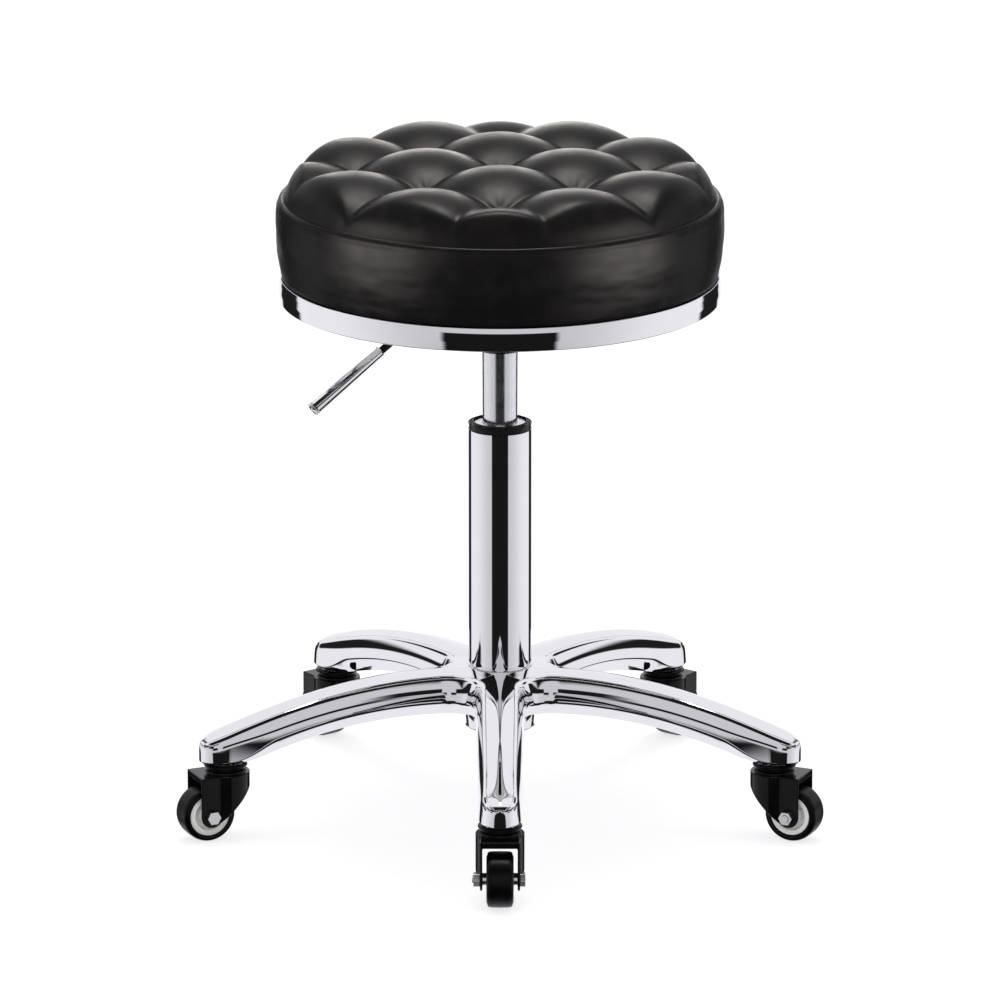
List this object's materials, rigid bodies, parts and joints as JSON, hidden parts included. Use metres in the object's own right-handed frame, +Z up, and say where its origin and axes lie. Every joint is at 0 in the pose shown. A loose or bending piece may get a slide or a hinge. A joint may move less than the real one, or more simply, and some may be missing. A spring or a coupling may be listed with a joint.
{
  "type": "rolling stool",
  "caption": "Round tufted stool with a bright trim ring, on a gas lift with a release lever and a cast star base with swivel casters.",
  "frame": {"origin": "on the floor, on the axis of the gas lift", "axes": "+Z up along the gas lift, -Y towards the stool's front arm, +X to the right seen from the front"},
  "size_m": [0.5102, 0.4867, 0.5375],
  "materials": {
    "chrome_casting": "chromium plated, polished",
    "chrome": "polished",
    "black_plastic": "satin",
    "steel": "satin",
    "axle_steel": "satin",
    "nylon": "matt",
    "black_paint": "semi gloss",
    "seal_rubber": "matt",
    "brass_valve": "machined",
    "plywood": "sanded",
    "lining": "woven",
    "black_leather": "semi gloss",
    "foam": "open cell",
    "twine": "twisted",
    "tyre_rubber": "satin",
    "grey_plastic": "satin"
  },
  "bodies": {
    "base": {"base_casting": "chrome_casting", "column_tube": "chrome", "column_collar": "black_plastic", "column_seal_ring": "steel", "guide_bush": "nylon", "bearing_plate": "steel", "lower_thrust_washer": "steel", "caster_stems": "steel", "caster_caps": "black_paint", "caster_lock_washers": "steel", "swivel_balls": "steel"},
    "lift_rod": {"piston_rod": "steel", "piston": "steel", "piston_seal": "seal_rubber", "upper_thrust_washer": "steel", "thrust_balls": "steel", "rod_clip": "steel", "rod_buffer": "seal_rubber"},
    "seat": {"lift_tube": "chrome", "rod_guide": "nylon", "rod_seal": "seal_rubber", "valve_body": "brass_valve", "taper_socket": "black_paint", "mounting_plate": "black_paint", "mounting_bolts": "steel", "tee_nuts": "steel", "lever_bracket": "black_paint", "lever_pivot_pin": "steel", "seat_board": "plywood", "dust_cover": "lining", "seat_ring": "chrome", "ring_screws": "steel", "seat_cover": "black_leather", "seat_foam": "foam", "tuft_ties": "twine"},
    "lever": {"lever_arm": "black_paint", "lever_grip": "chrome", "lever_cap": "chrome"},
    "release": {"release_pin": "steel"},
    "fork_1": {"fork_1": "black_paint", "axle_set_1": "axle_steel"},
    "wheel_1": {"tyre_1": "tyre_rubber", "wheel_rim_1": "grey_plastic"},
    "fork_2": {"fork_2": "black_paint", "axle_set_2": "axle_steel"},
    "wheel_2": {"tyre_2": "tyre_rubber", "wheel_rim_2": "grey_plastic"},
    "fork_3": {"fork_3": "black_paint", "axle_set_3": "axle_steel"},
    "wheel_3": {"tyre_3": "tyre_rubber", "wheel_rim_3": "grey_plastic"},
    "fork_4": {"fork_4": "black_paint", "axle_set_4": "axle_steel"},
    "wheel_4": {"tyre_4": "tyre_rubber", "wheel_rim_4": "grey_plastic"},
    "fork_5": {"fork_5": "black_paint", "axle_set_5": "axle_steel"},
    "wheel_5": {"tyre_5": "tyre_rubber", "wheel_rim_5": "grey_plastic"}
  },
  "joints": [
    {"name": "seat_swivel", "type": "hinge", "parent": "base", "child": "lift_rod", "pos_m": [0, 0, 0.0825], "axis": [0, 0, 1], "continuous": true},
    {"name": "seat_lift", "type": "slide", "parent": "lift_rod", "child": "seat", "axis": [0, 0, 1], "range_m": [-0.05, 0.07]},
    {"name": "lever_lift", "type": "hinge", "parent": "seat", "child": "lever", "pos_m": [-0.02165, -0.0125, 0.4295], "axis": [-0.5, 0.866, 0], "range_deg": [0, 8], "stiffness_Nm_per_rad": 5, "springref_deg": -5.73},
    {"name": "release_press", "type": "slide", "parent": "seat", "child": "release", "axis": [0, 0, -1], "range_m": [0, 0.0036]},
    {"name": "caster_1_swivel", "type": "hinge", "parent": "base", "child": "fork_1", "pos_m": [0, -0.227, 0.05], "axis": [0, 0, 1], "continuous": true},
    {"name": "wheel_1_spin", "type": "hinge", "parent": "fork_1", "child": "wheel_1", "pos_m": [0, -0.2445, 0.02175], "axis": [1, 0, 0], "continuous": true},
    {"name": "caster_2_swivel", "type": "hinge", "parent": "base", "child": "fork_2", "pos_m": [0.21589, -0.07015, 0.05], "axis": [0, 0, 1], "continuous": true},
    {"name": "wheel_2_spin", "type": "hinge", "parent": "fork_2", "child": "wheel_2", "pos_m": [0.23188, -0.07727, 0.02175], "axis": [0.4067, 0.9135, 0], "continuous": true},
    {"name": "caster_3_swivel", "type": "hinge", "parent": "base", "child": "fork_3", "pos_m": [0.13343, 0.18365, 0.05], "axis": [0, 0, 1], "continuous": true},
    {"name": "wheel_3_spin", "type": "hinge", "parent": "fork_3", "child": "wheel_3", "pos_m": [0.14371, 0.19781, 0.02175], "axis": [-0.809, 0.5878, 0], "continuous": true},
    {"name": "caster_4_swivel", "type": "hinge", "parent": "base", "child": "fork_4", "pos_m": [-0.13343, 0.18365, 0.05], "axis": [0, 0, 1], "continuous": true},
    {"name": "wheel_4_spin", "type": "hinge", "parent": "fork_4", "child": "wheel_4", "pos_m": [-0.14371, 0.19781, 0.02175], "axis": [-0.809, -0.5878, 0], "continuous": true},
    {"name": "caster_5_swivel", "type": "hinge", "parent": "base", "child": "fork_5", "pos_m": [-0.21589, -0.07015, 0.05], "axis": [0, 0, 1], "continuous": true},
    {"name": "wheel_5_spin", "type": "hinge", "parent": "fork_5", "child": "wheel_5", "pos_m": [-0.23188, -0.07727, 0.02175], "axis": [0.4067, -0.9135, 0], "continuous": true}
  ],
  "couplings": [
    {"joint": "release_press", "follows": "lever_lift", "m_per_rad": 0.025}
  ]
}
